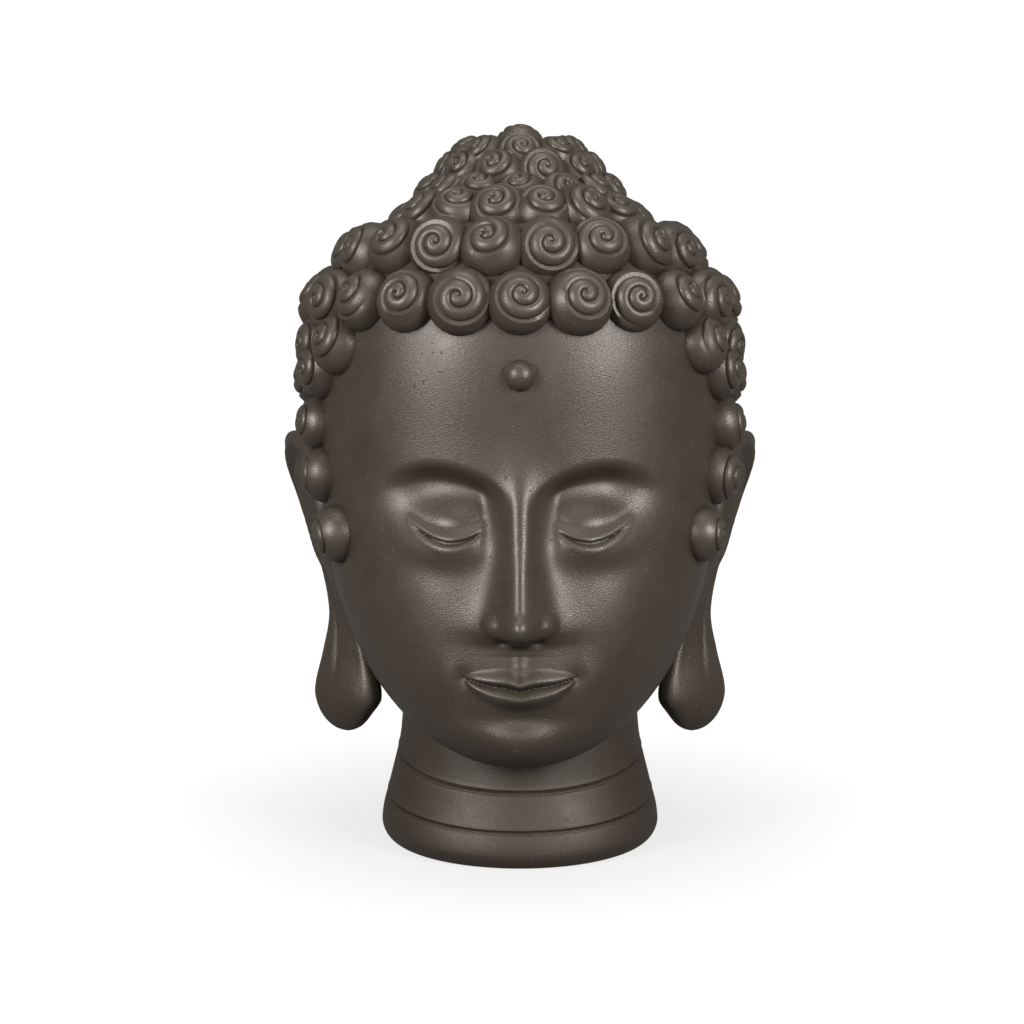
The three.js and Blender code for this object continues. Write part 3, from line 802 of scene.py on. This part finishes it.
class BUDDHA_OT_skin(bpy.types.Operator):
    """Adds the head with its face, the neck, the ears and the boss on the forehead"""

    bl_idname = "buddha.skin"
    bl_label = "Head, neck and ears"

    def execute(self, context):
        scene = context.scene
        head = Head(scene.buddha_head)
        surfaces = (head.skin(), head.neck(), head.boss(), ear_surface(1), ear_surface(-1))
        material = resin_material(scene.buddha_resin)
        piece = make_piece("head_skin", [ring_shell(points) for points in surfaces], material)
        mark_wear_and_shade(piece, 1.8, Hair(scene.buddha_hair, head), 0)
        return {"FINISHED"}


class BUDDHA_OT_hair(bpy.types.Operator):
    """Adds the bun and every curl of the hair"""

    bl_idname = "buddha.hair"
    bl_label = "Curls and bun"

    def execute(self, context):
        scene = context.scene
        hair = Hair(scene.buddha_hair, Head(scene.buddha_head))
        shells = [ring_shell(hair.core()), spiral_shells(hair.curls(), CURL_STEPS)]
        piece = make_piece("hair_curls", shells, bpy.data.materials["cast_resin"])
        mark_wear_and_shade(piece, 4, hair, 1)
        return {"FINISHED"}


# Soft boxes: name, place, width and height in metres, and watts
LIGHTS = (
    ("left_box", (-1.04, -1.12, 0.74), (0.5, 0.7), 30),
    ("right_box", (1.04, -1.12, 0.74), (0.5, 0.7), 30),
    ("top_box", (0, -0.2, 1.7), (0.9, 0.9), 11),
    ("front_fill", (0, -2.2, 0.8), (1.4, 0.8), 6),
)


class BUDDHA_OT_studio(bpy.types.Operator):
    """Adds the sweep, the soft lights and the camera"""

    bl_idname = "buddha.studio"
    bl_label = "Studio"

    def execute(self, context):
        scene = context.scene
        setup = scene.buddha_studio
        self.add_sweep(scene)
        for name, place, size, watts in LIGHTS:
            self.add_light(scene, name, place, size, watts)
        world = bpy.data.worlds.new("studio")
        world.use_nodes = True
        background = world.node_tree.nodes["Background"]
        background.inputs["Color"].default_value = (1, 1, 1, 1)
        background.inputs["Strength"].default_value = 0.2
        scene.world = world
        scene.view_settings.view_transform = "Standard"
        self.add_camera(scene, setup)
        return {"FINISHED"}

    def add_sweep(self, scene):
        """Sheet that lies flat, then rises behind in a quarter circle: a profile carried sideways."""
        bend = np.linspace(0, math.pi / 2, 24)
        flat, radius, width, rise = 2.2, 1.0, 5.0, 3.0
        y = np.concatenate([[-4.0], flat + radius * np.sin(bend), [flat + radius]])
        z = np.concatenate([[0.0], radius * (1 - np.cos(bend)), [rise]])
        x = np.array([-width, width])
        points = np.stack(np.broadcast_arrays(x[:, None], y, z), -1).reshape(-1, 3)
        i = np.arange(len(y) - 1)
        faces = np.stack([i, i + len(y), i + len(y) + 1, i + 1], -1)
        mesh = bpy.data.meshes.new("sweep")
        mesh.from_pydata(points.tolist(), [], faces.tolist())
        mesh.shade_smooth()
        mesh.materials.append(sheet_material())
        sweep = bpy.data.objects.new("sweep", mesh)
        scene.collection.objects.link(sweep)
        sweep.visible_glossy = False
        sweep.visible_diffuse = False

    def add_light(self, scene, name, place, size, watts):
        """Soft box turned to the middle of the head."""
        lamp = bpy.data.lights.new(name, "AREA")
        lamp.shape = "RECTANGLE"
        lamp.size, lamp.size_y = size
        lamp.energy = watts
        lamp.color = (1.0, 0.95, 0.88)
        light = bpy.data.objects.new(name, lamp)
        light.location = place
        light.rotation_euler = (Vector((0, 0, 0.2)) - Vector(place)).to_track_quat("-Z", "Y").to_euler()
        scene.collection.objects.link(light)

    def add_camera(self, scene, setup):
        """Camera in front of the face, at its height angle and distance from the point it looks at."""
        lens = bpy.data.cameras.new("camera")
        lens.lens = setup.focal
        lens.sensor_width = 36
        lens.shift_x = setup.offset
        camera = bpy.data.objects.new("camera", lens)
        aim = Vector((0, 0, setup.aim))
        away = Vector((0, -math.cos(setup.elevation), math.sin(setup.elevation)))
        camera.location = aim + away * setup.distance
        camera.rotation_euler = (-away).to_track_quat("-Z", "Y").to_euler()
        scene.collection.objects.link(camera)
        scene.camera = camera


class BUDDHA_PT_panel(bpy.types.Panel):
    """Lists the steps and the sizes of the head"""

    bl_idname = "BUDDHA_PT_panel"
    bl_label = "Buddha head"
    bl_space_type = "VIEW_3D"
    bl_region_type = "UI"
    bl_category = "Buddha head"

    def draw(self, context):
        for step, groups in STEPS:
            box = self.layout.box()
            for group in groups:
                settings = getattr(context.scene, group)
                for name in settings.__annotations__:
                    box.prop(settings, name)
            box.operator(step)


GROUPS = {
    "buddha_head": HeadSizes,
    "buddha_hair": HairSizes,
    "buddha_resin": ResinFinish,
    "buddha_studio": StudioSetup,
}
STEPS = (
    ("buddha.skin", ("buddha_head", "buddha_resin")),
    ("buddha.hair", ("buddha_hair",)),
    ("buddha.studio", ("buddha_studio",)),
)
CLASSES = (*GROUPS.values(), BUDDHA_OT_skin, BUDDHA_OT_hair, BUDDHA_OT_studio, BUDDHA_PT_panel)


def register():
    for cls in CLASSES:
        bpy.utils.register_class(cls)
    for name, group in GROUPS.items():
        setattr(bpy.types.Scene, name, bpy.props.PointerProperty(type=group))


def unregister():
    for name in GROUPS:
        delattr(bpy.types.Scene, name)
    for cls in reversed(CLASSES):
        bpy.utils.unregister_class(cls)


def main():
    register()
    bpy.ops.buddha.skin()
    bpy.ops.buddha.hair()
    bpy.ops.buddha.studio()


if __name__ == "__main__":
    main()
